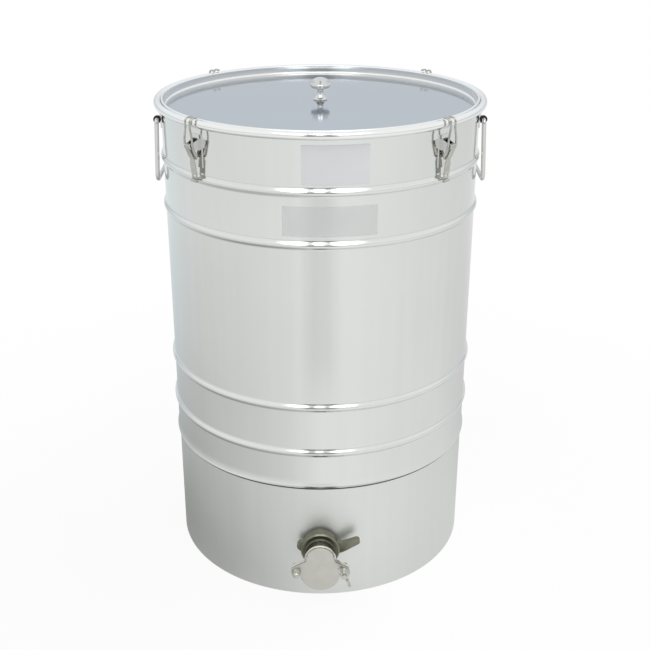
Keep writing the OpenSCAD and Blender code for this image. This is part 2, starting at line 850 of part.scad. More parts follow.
module lock_nut() {
    arm_mid_y = (nut_back_y + nut_front_y) / 2;
    color(dark_cast)
        difference() {
            union() {
                bar_y(0, valve_z, nut_r, nut_front_y + nut_chamfer, nut_back_y - clear_gap);
                translate([0, nut_front_y + nut_chamfer, valve_z])
                    rotate([90, 0, 0])
                        cylinder(r1 = nut_r, r2 = nut_r - nut_chamfer, h = nut_chamfer);
                plate(arm_mid_y - arm_t / 2, arm_mid_y + arm_t / 2) {
                    link([0, valve_z], arm_root_r, [arm_elbow_x, valve_z + arm_elbow_z], arm_elbow_r);
                    link([arm_elbow_x, valve_z + arm_elbow_z], arm_elbow_r,
                         [arm_end_x, valve_z + arm_end_z], arm_end_r);
                    link([0, valve_z], arm_root_r, [-stub_x, valve_z + stub_z], stub_r);
                }
            }
            bar_y(0, valve_z, tail_r + run_fit, nut_front_y - over, nut_back_y + over);
        }
}

// Eared plate shared by the flange and the gate, its outline drawn in by the inset.
module eared_plate(y0, y1, inset) {
    bar_y(0, valve_z, head_r - inset, y0, y1);
    bar_y(0, valve_z - lobe_drop, lobe_r - inset, y0, y1);
    for (side = [-1, 1])
        plate(y0, y1)
            link([0, valve_z - ear_root_drop], ear_root_r - inset, [side * ear_x, ear_z], flange_ear_r - inset);
}

module valve_body() {
    color(dull_steel)
        difference() {
            union() {
                bar_y(0, valve_z, tail_r, tail_front_y, tail_back_y);
                bar_y(0, valve_z, neck_r, flange_back_y, tail_front_y);
                eared_plate(flange_y, flange_back_y, 0);
            }
            bar_y(0, valve_z, bore_r, flange_y - over, tail_back_y + over);
            difference() {
                bar_y(0, valve_z, gate_seal_r + gate_seal_w + seat_fit, flange_y - over, flange_y + gate_seal_d);
                bar_y(0, valve_z, gate_seal_r - seat_fit, flange_y - 2 * over, flange_y + over);
            }
            for (side = [-1, 1])
                bar_y(side * ear_x, ear_z, stud_r + seat_fit, flange_y - over, flange_back_y + over);
        }
}

module gate_seal() {
    color(rubber)
        ring_y(gate_seal_r + gate_seal_w, gate_seal_r, flange_y - gate_seal_out, flange_y + gate_seal_d - seat_fit);
}

module gate_plate() {
    color(dull_steel)
        difference() {
            eared_plate(gate_y, gate_back_y, gate_inset);
            bar_y(-ear_x, ear_z, stud_hole_r, gate_y - over, gate_back_y + over);
            bar_y(ear_x, ear_z, stud_r + 2 * clear_gap, gate_y - over, gate_back_y + over);
            translate([-ear_x, gate_back_y + over, ear_z])
                rotate([90, 0, 0])
                    rotate([0, 0, -gate_slot_turn])
                        rotate_extrude(angle = gate_slot_turn)
                            translate([2 * ear_x - stud_r - clear_gap, 0])
                                square([2 * (stud_r + clear_gap), gate_t + 2 * over]);
        }
}

module stud(x, end_y) {
    color(dull_steel) {
        bar_y(x, ear_z, stud_r, end_y, flange_back_y + seat_fit);
        hex_y(x, ear_z, flange_back_y + seat_fit, flange_back_y + stud_head_h);
    }
}

module pivot_stud() {
    stud(-ear_x, clamp_y - spring_washer_t - cap_nut_h);
}

module clamp_stud() {
    stud(ear_x, wing_foot_y - wing_hub_h - stud_show);
}

module pivot_washer() {
    color(dull_steel)
        difference() {
            bar_y(-ear_x, ear_z, spring_washer_r, clamp_y - spring_washer_t, clamp_y);
            bar_y(-ear_x, ear_z, stud_r + seat_fit, clamp_y - spring_washer_t - over, clamp_y + over);
        }
}

module pivot_nut() {
    nut_y = clamp_y - spring_washer_t - seat_fit;
    color(dull_steel)
        difference() {
            union() {
                hex_y(-ear_x, ear_z, nut_y - cap_nut_h, nut_y);
                translate([-ear_x, nut_y - cap_nut_h, ear_z])
                    sphere(r = cap_dome_r);
            }
            bar_y(-ear_x, ear_z, stud_r + seat_fit, nut_y - cap_nut_h, nut_y + over);
        }
}

module clamp_washer() {
    color(dull_steel)
        difference() {
            bar_y(ear_x, ear_z, clamp_washer_r, clamp_y - clamp_washer_t, clamp_y);
            bar_y(ear_x, ear_z, stud_r + clear_gap, clamp_y - clamp_washer_t - over, clamp_y + over);
        }
}

module wing_nut() {
    color(dull_steel)
        translate([ear_x, wing_foot_y, ear_z])
            rotate([0, wing_turn, 0])
                rotate([90, 0, 0])
                    difference() {
                        union() {
                            cylinder(r1 = wing_hub_r, r2 = wing_top_r, h = wing_hub_h);
                            for (side = [-1, 1])
                                translate([0, wing_t / 2, 0])
                                    rotate([90, 0, 0])
                                        linear_extrude(height = wing_t)
                                            link([side * wing_root_x, wing_root_r], wing_root_r,
                                                 [side * wing_x, wing_y], wing_r);
                        }
                        translate([0, 0, -over])
                            cylinder(r = stud_hole_r, h = wing_hub_h + wing_y + over);
                    }
}

// Blank label and clear sticker on the wall

module blank_label() {
    color(paper)
        skin(wall_r + seat_fit, label_t, label_left, label_right, tank_h - label_low, tank_h - label_high);
}

module clear_sticker() {
    color(film)
        skin(wall_r + seat_fit, label_t, sticker_left, sticker_right, tank_h - sticker_low, tank_h - sticker_high);
}

upper_shell();
rim_wire();
lower_shell();
tank_floor();
outlet_socket();
outlet_seal();
valve_body();
gate_seal();
gate_plate();
pivot_stud();
pivot_washer();
pivot_nut();
clamp_stud();
clamp_washer();
wing_nut();
lock_nut();
lid_pan();
lid_seal();
lid_knob();
knob_washer();
knob_screw();
bail(true);  // left_bail
bushes(true);  // left_bushes
lugs(true);  // left_lugs
bail(false);  // right_bail
bushes(false);  // right_bushes
lugs(false);  // right_lugs
latch_pins();
latch_base(0);  // latch_base_fl
latch_base(1);  // latch_base_fr
latch_base(2);  // latch_base_bl
latch_base(3);  // latch_base_br
latch_lever(0);  // latch_lever_fl
latch_lever(1);  // latch_lever_fr
latch_lever(2);  // latch_lever_bl
latch_lever(3);  // latch_lever_br
latch_claw(0);  // latch_claw_fl
latch_claw(1);  // latch_claw_fr
latch_claw(2);  // latch_claw_bl
latch_claw(3);  // latch_claw_br
blank_label();
clear_sticker();
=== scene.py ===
import math

import bmesh
import bpy
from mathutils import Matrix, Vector


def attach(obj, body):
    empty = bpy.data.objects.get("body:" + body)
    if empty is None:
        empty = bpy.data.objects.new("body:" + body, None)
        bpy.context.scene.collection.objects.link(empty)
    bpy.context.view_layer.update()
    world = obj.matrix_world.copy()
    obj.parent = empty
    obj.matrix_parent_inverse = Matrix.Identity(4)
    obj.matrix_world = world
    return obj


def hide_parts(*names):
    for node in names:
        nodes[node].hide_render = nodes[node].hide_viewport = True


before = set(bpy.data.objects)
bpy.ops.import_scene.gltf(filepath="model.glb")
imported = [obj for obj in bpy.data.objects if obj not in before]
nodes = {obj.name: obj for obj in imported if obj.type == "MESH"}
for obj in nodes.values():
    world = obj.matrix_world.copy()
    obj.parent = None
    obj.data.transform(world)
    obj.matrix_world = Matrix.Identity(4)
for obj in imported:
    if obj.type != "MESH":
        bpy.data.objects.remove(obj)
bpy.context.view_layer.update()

# Sizes in millimetres, as in the part's source

MM_PER_M = 1000
WALL_R = 250.0
SHEET = 1.0
TANK_H = 775.0
SEAM_Z = 206.0
FOOT_R = 248.9
LIP_H = 14.0
LIP_OUT = 2.4
BEAD_ZS = (268.0, 347.0, 609.0, 687.0)
BEAD_HALF = 8.0
BEAD_OUT = 4.0
RIM_R = 6.0
CURL_END = 320.0
LID_SHEET = 0.8
PAN_R = 246.8
PAN_Z = 760.5
PAN_CROWN = 4.0
PAN_CORNER = 4.0
LID_BEAD_R = 2.0
LID_BEAD = (247.8, 773.2)
KNOB_FOOT_Z = 765.35
KNOB_H = 35.0
KNOB_DOME_R = 20.0
VALVE_Z = 98.0
TAIL_R = 23.9
NUT_FRONT_Y = -267.55
FLANGE_BACK_Y = -286.55

# Sizes of the fine detail, in millimetres

WELD_SECTION = ((-1.7, -0.3), (-1.2, 0.05), (-0.5, 0.16), (0.5, 0.16), (1.2, 0.05), (1.7, -0.3))
WELD_END_SINK = 0.6
FOOT_WELD_ZS = (1.5, 3.0, 100.0, 199.0, 200.5)
THREAD_PITCH = 1.8
THREAD_TURNS = 2.6
THREAD_LEAD = 0.75
THREAD_ROOT_SINK = 0.3
THREAD_ROOT_HALF = 0.7
THREAD_CREST_SINK = 0.2
THREAD_CREST_OUT = 0.75
THREAD_CREST_HALF = 0.12
EASED_EDGE = 0.6

# Steps along and round the turned and swept pieces

ROUND_STEPS = 384
KNOB_ROUND_STEPS = 96
LIP_STEPS = 20
BEAD_STEPS = 32
CURL_STEPS = 72
CORNER_STEPS = 10
CROWN_STEPS = 24
LID_BEAD_STEPS = 40
CAP_EDGE_STEPS = 14
THREAD_STEPS = 48
THREAD_FADE_STEPS = 12
CREASE_ANGLE = 32.0
ON_AXIS = 1e-6

# Where the steel starts to take its painted highlight, in metres, and how fast it gets there, per metre

CREST_R = 0.251
CREST_R_RISE = 300.0
CREST_R_TOP = 0.25
CREST_Z = 0.766
LID_CREST_Z = 0.7705
CREST_Z_RISE = 600.0
EDGE_R = 0.2415
EDGE_RISE = 500.0
FLANGE_RISE = 800.0

# Depths of bumps, in metres, and the level that a noise varies about

SHEET_DEPTH = 0.004
PIT_DEPTH = 0.0004
GRAIN_DEPTH = 0.0005
FIBRE_DEPTH = 0.0003
MID = 0.5

BLACK = (0.0, 0.0, 0.0)
WHITE = (1.0, 1.0, 1.0)


# Shader kit

class Sock:
    """A shader socket that takes part in sums."""

    def __init__(self, kit, out):
        self.kit = kit
        self.out = out

    def math(self, operation, a, b=0.0, c=0.0):
        return self.kit.node("ShaderNodeMath", {"operation": operation}, {0: a, 1: b, 2: c})

    def __add__(self, other):
        return self.math("ADD", self, other)

    def __mul__(self, other):
        return self.math("MULTIPLY", self, other)

    def __sub__(self, other):
        return self.math("SUBTRACT", self, other)

    def __rsub__(self, other):
        return self.math("SUBTRACT", other, self)

    def __truediv__(self, other):
        return self.math("DIVIDE", self, other)

    def __pow__(self, other):
        return self.math("POWER", self, other)

    __radd__ = __add__
    __rmul__ = __mul__


class Finish:
    """A node tree under construction."""

    def __init__(self, owner):
        owner.use_nodes = True
        self.owner = owner
        self.tree = owner.node_tree
        self.tree.nodes.clear()

    def node(self, kind, settings=None, sockets=None, out=0):
        """New node: its settings first, then the values or links of its sockets."""
        made = self.tree.nodes.new(kind)
        for key, value in (settings or {}).items():
            if key == "stops":
                ramp = made.color_ramp.elements
                while len(ramp) < len(value):
                    ramp.new(0.5)
                for stop, (place, colour) in zip(ramp, value):
                    stop.position = place
                    stop.color = (*colour, 1.0)
            else:
                setattr(made, key, value)
        for key, value in (sockets or {}).items():
            if isinstance(value, Sock):
                self.tree.links.new(value.out, made.inputs[key])
            else:
                made.inputs[key].default_value = value
        return Sock(self, made.outputs[out]) if made.outputs else None

    def mix(self, share, a, b):
        """Colour a where share is 0, b where it is 1."""
        pair = [(*v, 1.0) if isinstance(v, tuple) else v for v in (a, b)]
        sockets = {0: share, 6: pair[0], 7: pair[1]}
        return self.node("ShaderNodeMix", {"data_type": "RGBA"}, sockets, 2)

    def ramp(self, value, *stops):
        """Grey ramp of a value through stops of (place, grey)."""
        greys = [(place, (grey, grey, grey)) for place, grey in stops]
        return self.node("ShaderNodeValToRGB", {"stops": greys}, {0: value})

    def rise(self, value, start, pace, top=1.0):
        """0 as far as start, then up to top at that pace."""
        return self.ramp((value - start) * pace, (0.0, 0.0), (1.0, top))

    def noise(self, vector, scale, detail=2.0, rough=0.5):
        sockets = {"Vector": vector, "Scale": scale, "Detail": detail, "Roughness": rough}
        return self.node("ShaderNodeTexNoise", {}, sockets)

    def place(self):
        """Position in the object's own frame, in metres."""
        return self.node("ShaderNodeTexCoord", {}, {}, 3)

    def parts(self, vector):
        split = self.node("ShaderNodeSeparateXYZ", {}, {0: vector})
        return [Sock(self, o) for o in split.out.node.outputs]

    def joined(self, x, y, z):
        return self.node("ShaderNodeCombineXYZ", {}, {0: x, 1: y, 2: z})

    def rays(self, *names):
        """What kind of ray looks, one socket for each name."""
        path = self.node("ShaderNodeLightPath")
        return [Sock(self, path.out.node.outputs[n]) for n in names]

    def bump(self, height, strength, distance):
        sockets = {"Height": height, "Strength": strength, "Distance": distance}
        return self.node("ShaderNodeBump", {}, sockets)


def material(name, fixed, build):
    """Principled material: fixed values on the shader's own sockets, build returns the varying ones."""
    mat = bpy.data.materials.new(name)
    kit = Finish(mat)
    sockets = dict(fixed)
    sockets.update(build(kit))
    shader = kit.node("ShaderNodeBsdfPrincipled", {}, sockets)
    kit.node("ShaderNodeOutputMaterial", {}, {0: shader})
    return mat


# Finishes

def steel(name, colour, rough, spread, wave, crest=None, highlight_z=CREST_Z, edge_rough=0.0):
    """Stainless sheet: faint rolled bands, wiped smears and a slightly uneven sheet.

    crest is the colour of the painted highlight on the beads and the rim, and edge_rough dulls a lid's edge,
    which takes the painted highlight too.
    """
    def build(kit):
        x, y, z = kit.parts(kit.place())
        turn = x.math("ARCTAN2", y, x)
        band = kit.noise(kit.joined(turn * 9.0, z * 0.7, 0.0), scale=2.0)
        smear = kit.noise(kit.place(), scale=6.0, detail=3.0, rough=0.55)
        grain = kit.noise(kit.joined(turn * 5.0, z * 600.0, 0.0), scale=1.0)
        dark = tuple(c * 0.96 for c in colour)
        tone = kit.mix(kit.ramp(smear * 0.6 + band * 0.4, (0.35, 0.0), (0.65, 1.0)), dark, colour)
        gloss = rough + spread * (smear - MID)
        gloss = gloss + spread * 0.2 * (band - MID) + spread * 0.3 * (grain - MID)
        # Painted highlight: the proud beads, the rim and a lid's edge are brightened towards the crest
        # colour.
        if crest:
            out = (x * x + y * y) ** 0.5
            proud_highlight = kit.rise(out, CREST_R, CREST_R_RISE, CREST_R_TOP)
            above = kit.rise(z, highlight_z, CREST_Z_RISE)
            tone = kit.mix(proud_highlight.math("MAXIMUM", proud_highlight, above), tone, crest)
            if edge_rough:
                edge = kit.rise(out, EDGE_R, EDGE_RISE)
                tone = kit.mix(edge, tone, crest)
                gloss = gloss + edge * edge_rough
        sheet = kit.noise(kit.joined(turn * 1.2, z * 2.5, 0.0), scale=2.6, detail=1.0, rough=0.4)
        return {"Base Color": tone, "Roughness": gloss, "Normal": kit.bump(sheet, wave, SHEET_DEPTH)}
    return material(name, {"Metallic": 1.0}, build)


def fittings(name, colour, rough, pit, worn_by=1.35, painted_shade=None):
    """Cast or pressed metal with fine pitting and worn, lighter patches.

    The colour for behind the flange, towards the drum, is painted shade on the neck and thread between the
    lock nut and the flange.
    """
    def build(kit):
        at = kit.place()
        grain = kit.noise(at, scale=420.0, detail=3.0, rough=0.6)
        worn = kit.noise(at, scale=60.0, detail=3.0, rough=0.6)
        light = tuple(min(1.0, c * worn_by) for c in colour)
        tone = kit.mix(kit.ramp(worn, (0.4, 0.0), (0.72, 1.0)), colour, light)
        # Painted shade: darker behind the flange, towards the drum.
        if painted_shade:
            y = kit.parts(at)[1]
            tone = kit.mix(kit.rise(y, FLANGE_BACK_Y / MM_PER_M, FLANGE_RISE), tone, painted_shade)
        gloss = rough + 0.3 * (worn_by - 1.0) * (worn - MID) + 0.1 * (grain - MID)
        return {"Base Color": tone, "Roughness": gloss, "Normal": kit.bump(grain, pit, PIT_DEPTH)}
    return material(name, {"Metallic": 1.0}, build)


def moulded(name, colour, rough, grain_scale, pit):
    """Moulded plastic or rubber: fine grain and a little dust."""
    def build(kit):
        at = kit.place()
        grain = kit.noise(at, scale=grain_scale, detail=3.0, rough=0.6)
        dust = kit.noise(at, scale=35.0, detail=3.0, rough=0.6)
        light = tuple(c * 1.5 + 0.01 for c in colour)
        tone = kit.mix(kit.ramp(dust, (0.45, 0.0), (0.75, 0.7)), colour, light)
        gloss = rough + 0.2 * (dust - MID)
        return {"Base Color": tone, "Roughness": gloss, "Normal": kit.bump(grain, pit, GRAIN_DEPTH)}
    return material(name, {}, build)


def paper(kit):
    """Coated label paper: fine fibre and a faint cloud."""
    at = kit.place()
    fibre = kit.noise(at, scale=900.0, detail=3.0, rough=0.7)
    cloud = kit.noise(at, scale=40.0)
    return {"Base Color": kit.mix(cloud, (0.66, 0.67, 0.69), (0.71, 0.72, 0.74)),
            "Roughness": 0.42 + 0.15 * (fibre - MID),
            "Normal": kit.bump(fibre, 0.08, FIBRE_DEPTH)}


def film(kit):
    """Clear film, slightly milky."""
    at = kit.place()
    cloud = kit.noise(at, scale=30.0)
    fine = kit.noise(at, scale=500.0)
    return {"Base Color": kit.mix(cloud, (0.72, 0.745, 0.745), (0.77, 0.79, 0.79)),
            "Roughness": 0.2 + 0.1 * (fine - MID),
            "Alpha": 0.14 + 0.05 * (cloud - MID)}


def shadow_paint(kit):
    """Painted shadow for the seam under the lip: near black, with faint random patches."""
    patch = kit.noise(kit.place(), scale=45.0, detail=3.0, rough=0.6)
    return {"Base Color": kit.mix(patch, (0.03, 0.03, 0.027), (0.08, 0.08, 0.07)),
            "Roughness": 0.55 + 0.2 * (patch - MID)}


# The crest colours here are painted highlights on the beads, the rims and the lid's edge.
wall_steel = steel("drum_steel", (0.757, 0.772, 0.757), rough=0.12, spread=0.05, wave=0.07,
                   crest=(0.9, 0.91, 0.9))
foot_steel = steel("foot_steel", (0.775, 0.795, 0.77), rough=0.46, spread=0.07, wave=0.08)
# The lid's steel is darker and bluer than the drum's: a painted reflection of the cool room behind.
lid_steel = steel("lid_steel", (0.465, 0.51, 0.56), rough=0.10, spread=0.04, wave=0.04,
                  crest=(0.9, 0.9, 0.89), highlight_z=LID_CREST_Z, edge_rough=0.14)
bright_steel = steel("bright_steel", (0.70, 0.70, 0.69), rough=0.12, spread=0.06, wave=0.0)
pressed_steel = fittings("pressed_steel", (0.48, 0.48, 0.44), rough=0.22, pit=0.05)
claw_wire = fittings("claw_wire", (0.46, 0.46, 0.43), rough=0.15, pit=0.03, worn_by=1.2)
valve_steel = fittings("valve_steel", (0.56, 0.56, 0.515), rough=0.30, pit=0.05, worn_by=1.08)
# valve_cast's dark colour behind the flange is painted shade.
valve_cast = fittings("valve_cast", (0.86, 0.86, 0.80), rough=0.22, pit=0.04, worn_by=1.05,
                      painted_shade=(0.15, 0.15, 0.115))
dark_cast = fittings("dark_cast", (0.21, 0.21, 0.165), rough=0.34, pit=0.10)
black_ends = moulded("black_ends", (0.012, 0.012, 0.012), rough=0.42, grain_scale=700.0, pit=0.12)
seal_rubber = moulded("seal_rubber", (0.03, 0.03, 0.028), rough=0.6, grain_scale=500.0, pit=0.1)
label_paper = material("label_paper", {"Specular IOR Level": 0.4}, paper)
sticker_film = material("sticker_film", {"Specular IOR Level": 0.5}, film)
# Near-black finish for the painted shadow in the seam under the lip.
seam_shadow_paint = material("seam_shadow_paint", {"Specular IOR Level": 0.3}, shadow_paint)


# Turned pieces

def add(name, data):
    """New object in the scene."""
    obj = bpy.data.objects.new(name, data)
    bpy.context.scene.collection.objects.link(obj)
    return obj


def piece(name, bm, body, mat):
    """Object made of a built mesh, with its finish, on its body."""
    mesh = bpy.data.meshes.new(name)
    bm.to_mesh(mesh)
    bm.free()
    obj = add(name, mesh)
    mesh.materials.append(mat)
    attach(obj, body)
    return obj


def turned_ring(bm, r, z, steps):
    """Points round the drum's axis, or one on it, from a radius and height in mm."""
    if r < ON_AXIS:
        return [bm.verts.new((0.0, 0.0, z / MM_PER_M))]
    turns = [2 * math.pi * i / steps for i in range(steps)]
    r, z = r / MM_PER_M, z / MM_PER_M
    return [bm.verts.new((r * math.cos(t), r * math.sin(t), z)) for t in turns]


def lathe(name, profile, body, mat, stands_for, steps=ROUND_STEPS):
    """Closed outline of (radius, height) points in mm, turned about the drum's axis."""
    bm = bmesh.new()
    rings = [turned_ring(bm, r, z, steps) for r, z in profile]
    for a, b in zip(rings, rings[1:] + rings[:1]):
        if len(a) == 1 and len(b) == 1:
            continue
        for i in range(steps):
            j = (i + 1) % steps
            corners = [a[0]] if len(a) == 1 else [a[i], a[j]]
            corners += [b[0]] if len(b) == 1 else [b[j], b[i]]
            bm.faces.new(corners)
    bmesh.ops.recalc_face_normals(bm, faces=bm.faces)
    for f in bm.faces:
        f.smooth = True
    limit = math.radians(CREASE_ANGLE)
    for e in bm.edges:
        if len(e.link_faces) == 2 and e.calc_face_angle(0.0) > limit:
            e.smooth = False
    obj = piece(name, bm, body, mat)
    if stands_for:
        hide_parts(*stands_for)


def arc(cx, cz, r, start, end, steps):
    """Points on an arc about (cx, cz), from one angle to another in degrees."""
    turns = [math.radians(start + (end - start) * i / steps) for i in range(steps + 1)]
    return [(cx + r * math.cos(t), cz + r * math.sin(t)) for t in turns]


def bead_profile(r, z):
    """One swaged bead on a wall of radius r, from below to above."""
    shares = [i / BEAD_STEPS for i in range(BEAD_STEPS + 1)]
    return [(r + BEAD_OUT * (1 - math.cos(2 * math.pi * s)) / 2, z - BEAD_HALF + 2 * BEAD_HALF * s)
            for s in shares]


def drum_side(r, rim):
    """One face of the upper shell: lip, beads and curl, from the seam up."""
    lip = [(r + LIP_OUT * (1 - i / LIP_STEPS) ** 2, SEAM_Z + LIP_H * i / LIP_STEPS)
           for i in range(LIP_STEPS + 1)]
    beads = [point for z in BEAD_ZS for point in bead_profile(r, z)]
    curl = arc(WALL_R - SHEET + RIM_R, TANK_H - RIM_R, rim, 180, 180 - CURL_END, CURL_STEPS)
    return lip + beads + curl


def drum():
    """Rolled sheet with its lip, beads and curled rim."""
    outside = drum_side(WALL_R, RIM_R - SHEET)
    inside = drum_side(WALL_R - SHEET, RIM_R)
    lathe("drum", outside + inside[::-1], "tank", wall_steel, ["upper_shell"])


def lid():
    """Pan with its corner, crowned panel and edge bead, as one turned sheet."""
    reach = PAN_R - PAN_CORNER
    under = [(PAN_R, LID_BEAD[1])] + arc(reach, PAN_Z + PAN_CORNER, PAN_CORNER, 0, -90, CORNER_STEPS)
    above = arc(reach, PAN_Z + PAN_CORNER, PAN_CORNER - LID_SHEET, -90, 0, CORNER_STEPS)
    crown = [(reach * i / CROWN_STEPS, PAN_CROWN * (1 - (i / CROWN_STEPS) ** 2))
             for i in range(CROWN_STEPS)]
    under += [(r, PAN_Z + z) for r, z in crown[::-1]]
    above = [(r, PAN_Z + LID_SHEET + z) for r, z in crown] + above
    bead = arc(*LID_BEAD, LID_BEAD_R, 215, -125, LID_BEAD_STEPS)
    lathe("lid", under + above + bead, "lid", lid_steel, ["lid_pan"])


def knob():
    """Mushroom knob: coned foot, waisted stem and domed cap."""
    z = KNOB_FOOT_Z
    foot = [(0.0, z), (10.9, z), (11.2, z + 0.3), (11.2, z + 1.4), (10.8, z + 1.9)]
    stem = [(9.4, z + 3.0), (7.6, z + 5.0), (6.2, z + 7.2), (5.2, z + 9.6), (4.7, z + 12.2),
            (4.7, z + 14.4), (5.2, z + 16.2), (6.6, z + 17.6), (8.8, z + 18.3)]
    edge = arc(11.5, z + 22.5, 4.2, -90, 62, CAP_EDGE_STEPS)
    tilts = [math.radians(a) for a in range(36, 0, -3)]
    dome = [(KNOB_DOME_R * math.sin(t), z + KNOB_H - KNOB_DOME_R + KNOB_DOME_R * math.cos(t))
            for t in tilts]
    outline = foot + stem + edge + dome + [(0.0, z + KNOB_H)]
    lathe("knob", outline, "lid", bright_steel, ["lid_knob"], KNOB_ROUND_STEPS)


def painted_seam_shadow():
    """Dark ring in the corner under the lip, shaped as a fillet: a painted shadow of the gap there."""
    r, z = FOOT_R, SEAM_Z
    ring = [(r - 0.2, z - 4.6), (r + 0.3, z - 4.4), (r + 1.2, z - 2.6),
            (r + 1.9, z - 0.6), (r + 2.0, z + 0.6), (r - 0.2, z + 0.6)]
    lathe("painted_seam_shadow", ring, "tank", seam_shadow_paint, [])


# Swept detail

def swept(name, rows, body, mat):
    """Closed skin through rows of points in mm, each row a section, with flat ends."""
    bm = bmesh.new()
    made = [[bm.verts.new([c / MM_PER_M for c in p]) for p in row] for row in rows]
    count = len(rows[0])
    for a, b in zip(made, made[1:]):
        for i in range(count):
            j = (i + 1) % count
            bm.faces.new((a[i], a[j], b[j], b[i]))
    bm.faces.new(made[0])
    bm.faces.new(made[-1])
    bmesh.ops.recalc_face_normals(bm, faces=bm.faces)
    for f in bm.faces:
        f.smooth = len(f.verts) == 4
    piece(name, bm, body, mat)


def back_weld(name, path, mat):
    """Planished weld down the back: a low strip on a path of (radius, height).

    It is sunk at its edges and ends.
    """
    ends = (0, len(path) - 1)
    rows = []
    for k, (r, z) in enumerate(path):
        drop = WELD_END_SINK if k in ends else 0.0
        rows.append([(u, math.sqrt((r + h - drop) ** 2 - u * u), z) for u, h in WELD_SECTION])
    swept(name, rows, "tank", mat)


def wall_path():
    """The wall's outer face from the lip over the beads, then straight to the curl's lower edge."""
    side = drum_side(WALL_R, RIM_R - SHEET)
    curl_r, curl_z = WALL_R - SHEET + RIM_R, TANK_H - RIM_R
    return [(r, z) for r, z in side if r < curl_r and z < curl_z][2:]


def tail_thread():
    """Thread on the bare end of the valve's tail, between the lock nut and the neck."""
    length = THREAD_TURNS * THREAD_STEPS
    root = TAIL_R - THREAD_ROOT_SINK
    rows = []
    for k in range(int(length) + 1):
        turn = 2 * math.pi * k / THREAD_STEPS
        y = NUT_FRONT_Y - THREAD_LEAD - THREAD_PITCH * k / THREAD_STEPS
        fade = min(1.0, k / THREAD_FADE_STEPS, (length - k) / THREAD_FADE_STEPS)
        crest = TAIL_R - THREAD_CREST_SINK + THREAD_CREST_OUT * fade
        section = ((root, -THREAD_ROOT_HALF), (root, THREAD_ROOT_HALF),
                   (crest, THREAD_CREST_HALF), (crest, -THREAD_CREST_HALF))
        rows.append([(r * math.cos(turn), y + w, VALVE_Z + r * math.sin(turn)) for r, w in section])
    swept("tail_thread", rows, "tank", valve_cast)


drum()
lid()
knob()
painted_seam_shadow()
back_weld("wall_weld", wall_path(), wall_steel)
back_weld("foot_weld", [(FOOT_R, z) for z in FOOT_WELD_ZS], foot_steel)
tail_thread()


# CAD pieces keep their shape and take these finishes

def latch(part):
    """One part's name on each of the four latches."""
    return tuple(f"latch_{part}_{place}" for place in ("fl", "fr", "bl", "br"))


DRESS = {
    foot_steel: ("lower_shell", "tank_floor"),
    bright_steel: ("left_bail", "right_bail", "rim_wire", "knob_washer", "knob_screw", "left_lugs",
                   "right_lugs", *latch("base")),
    pressed_steel: latch("lever"),
    claw_wire: latch("claw"),
    valve_cast: ("valve_body",),
    valve_steel: ("gate_plate", "pivot_stud", "pivot_washer", "pivot_nut", "clamp_stud",
                  "clamp_washer", "wing_nut"),
    dark_cast: ("lock_nut", "latch_pins", "outlet_socket"),
    black_ends: ("left_bushes", "right_bushes"),
    seal_rubber: ("outlet_seal", "gate_seal", "lid_seal"),
    label_paper: ("blank_label",),
    sticker_film: ("clear_sticker",),
}
for mat, names in DRESS.items():
    for name in names:
        nodes[name].data.materials.clear()
        nodes[name].data.materials.append(mat)


def ease_edges(name, width):
    """Small rounds, in mm, on a piece's sharp edges."""
    weld = nodes[name].modifiers.new("weld", "WELD")
    weld.merge_threshold = 0.00001
    bevel = nodes[name].modifiers.new("eased", "BEVEL")
    bevel.width = width / MM_PER_M
    bevel.segments = 2
    bevel.limit_method = "ANGLE"
    bevel.angle_limit = math.radians(40.0)
    bevel.use_clamp_overlap = False
    bevel.harden_normals = True


for name in ("gate_plate", "valve_body"):
    ease_edges(name, EASED_EDGE)


# Floor, studio and camera

FLOOR_HALF = 14.0
FLOOR_Z = -0.0004
FLOOR_MIRRORED = 0.85
FLOOR_THROUGH = 0.9
FAR = 0.25
CLOSE = 0.4
PANES = (("pane_left", -1.3, -0.5), ("pane_middle", -0.2, 0.13), ("pane_right", 0.4, 1.4))
PANE_Y = -2.2
PANE_Z = 3.2
PANE_AIM_Y = -1.0
PANE_DEPTH = 1.8
PANE_POWER = 14.0
KEY_POWER = 1.55
KEY_SPREAD = 80.0
KEY_WAY = Vector((-1.0, -0.42, -0.78))
CAMERA_AT = (0.0, -1.6819, 1.1178)
CAMERA_DOWN = 23.80
CAMERA_LENS = 58.95
CAMERA_SHIFT = 0.0072


def floor_light(kit, mirrored, turn, away):
    """Colour of the floor's light: even, but mirrored in the steel it carries painted shadow, most on the
    left and behind.

    turn goes once round the drum: 0.25 on the right, 0.5 in front, 0.75 on the left. away is the distance.
    """
    # Painted shadow, as losses of light in mirrors: the drum's shadow by direction and distance, a faint
    # shade on the right, a stand's shadow in front and a contact shadow at the foot.
    shadow_by_turn = kit.ramp(turn, (0.0, 0.7), (0.14, 0.35), (0.25, 0.04), (0.5, 0.06), (0.561, 0.34), (0.617, 0.48),
                   (0.764, 0.7))
    near = kit.ramp(away * CLOSE, (0.16, 1.0), (0.22, 0.75), (0.34, 0.52), (0.44, 0.4), (0.84, 0.16))
    side = kit.ramp(turn, (0.0, 0.0), (0.14, 0.12), (0.28, 0.1), (0.36, 0.05), (0.45, 0.0))
    aside = turn.math("ABSOLUTE", turn - 0.5)
    stand_shadow = kit.ramp(aside * 10.0, (0.1, 0.17), (0.2, 0.12), (0.38, 0.0))
    stand_shadow = stand_shadow * kit.ramp(away * FAR, (0.24, 0.0), (0.3, 1.0), (0.6, 1.0), (0.75, 0.0))
    foot = kit.ramp(away * CLOSE, (0.115, 0.08), (0.165, 0.0))
    lit = 1.0 - mirrored * (shadow_by_turn * near + side + stand_shadow + foot)
    cool = kit.mix(mirrored * kit.ramp(turn, (0.76, 0.0), (0.88, 1.0)), WHITE, (0.91, 0.98, 1.0))
    return kit.mix(lit, BLACK, cool)


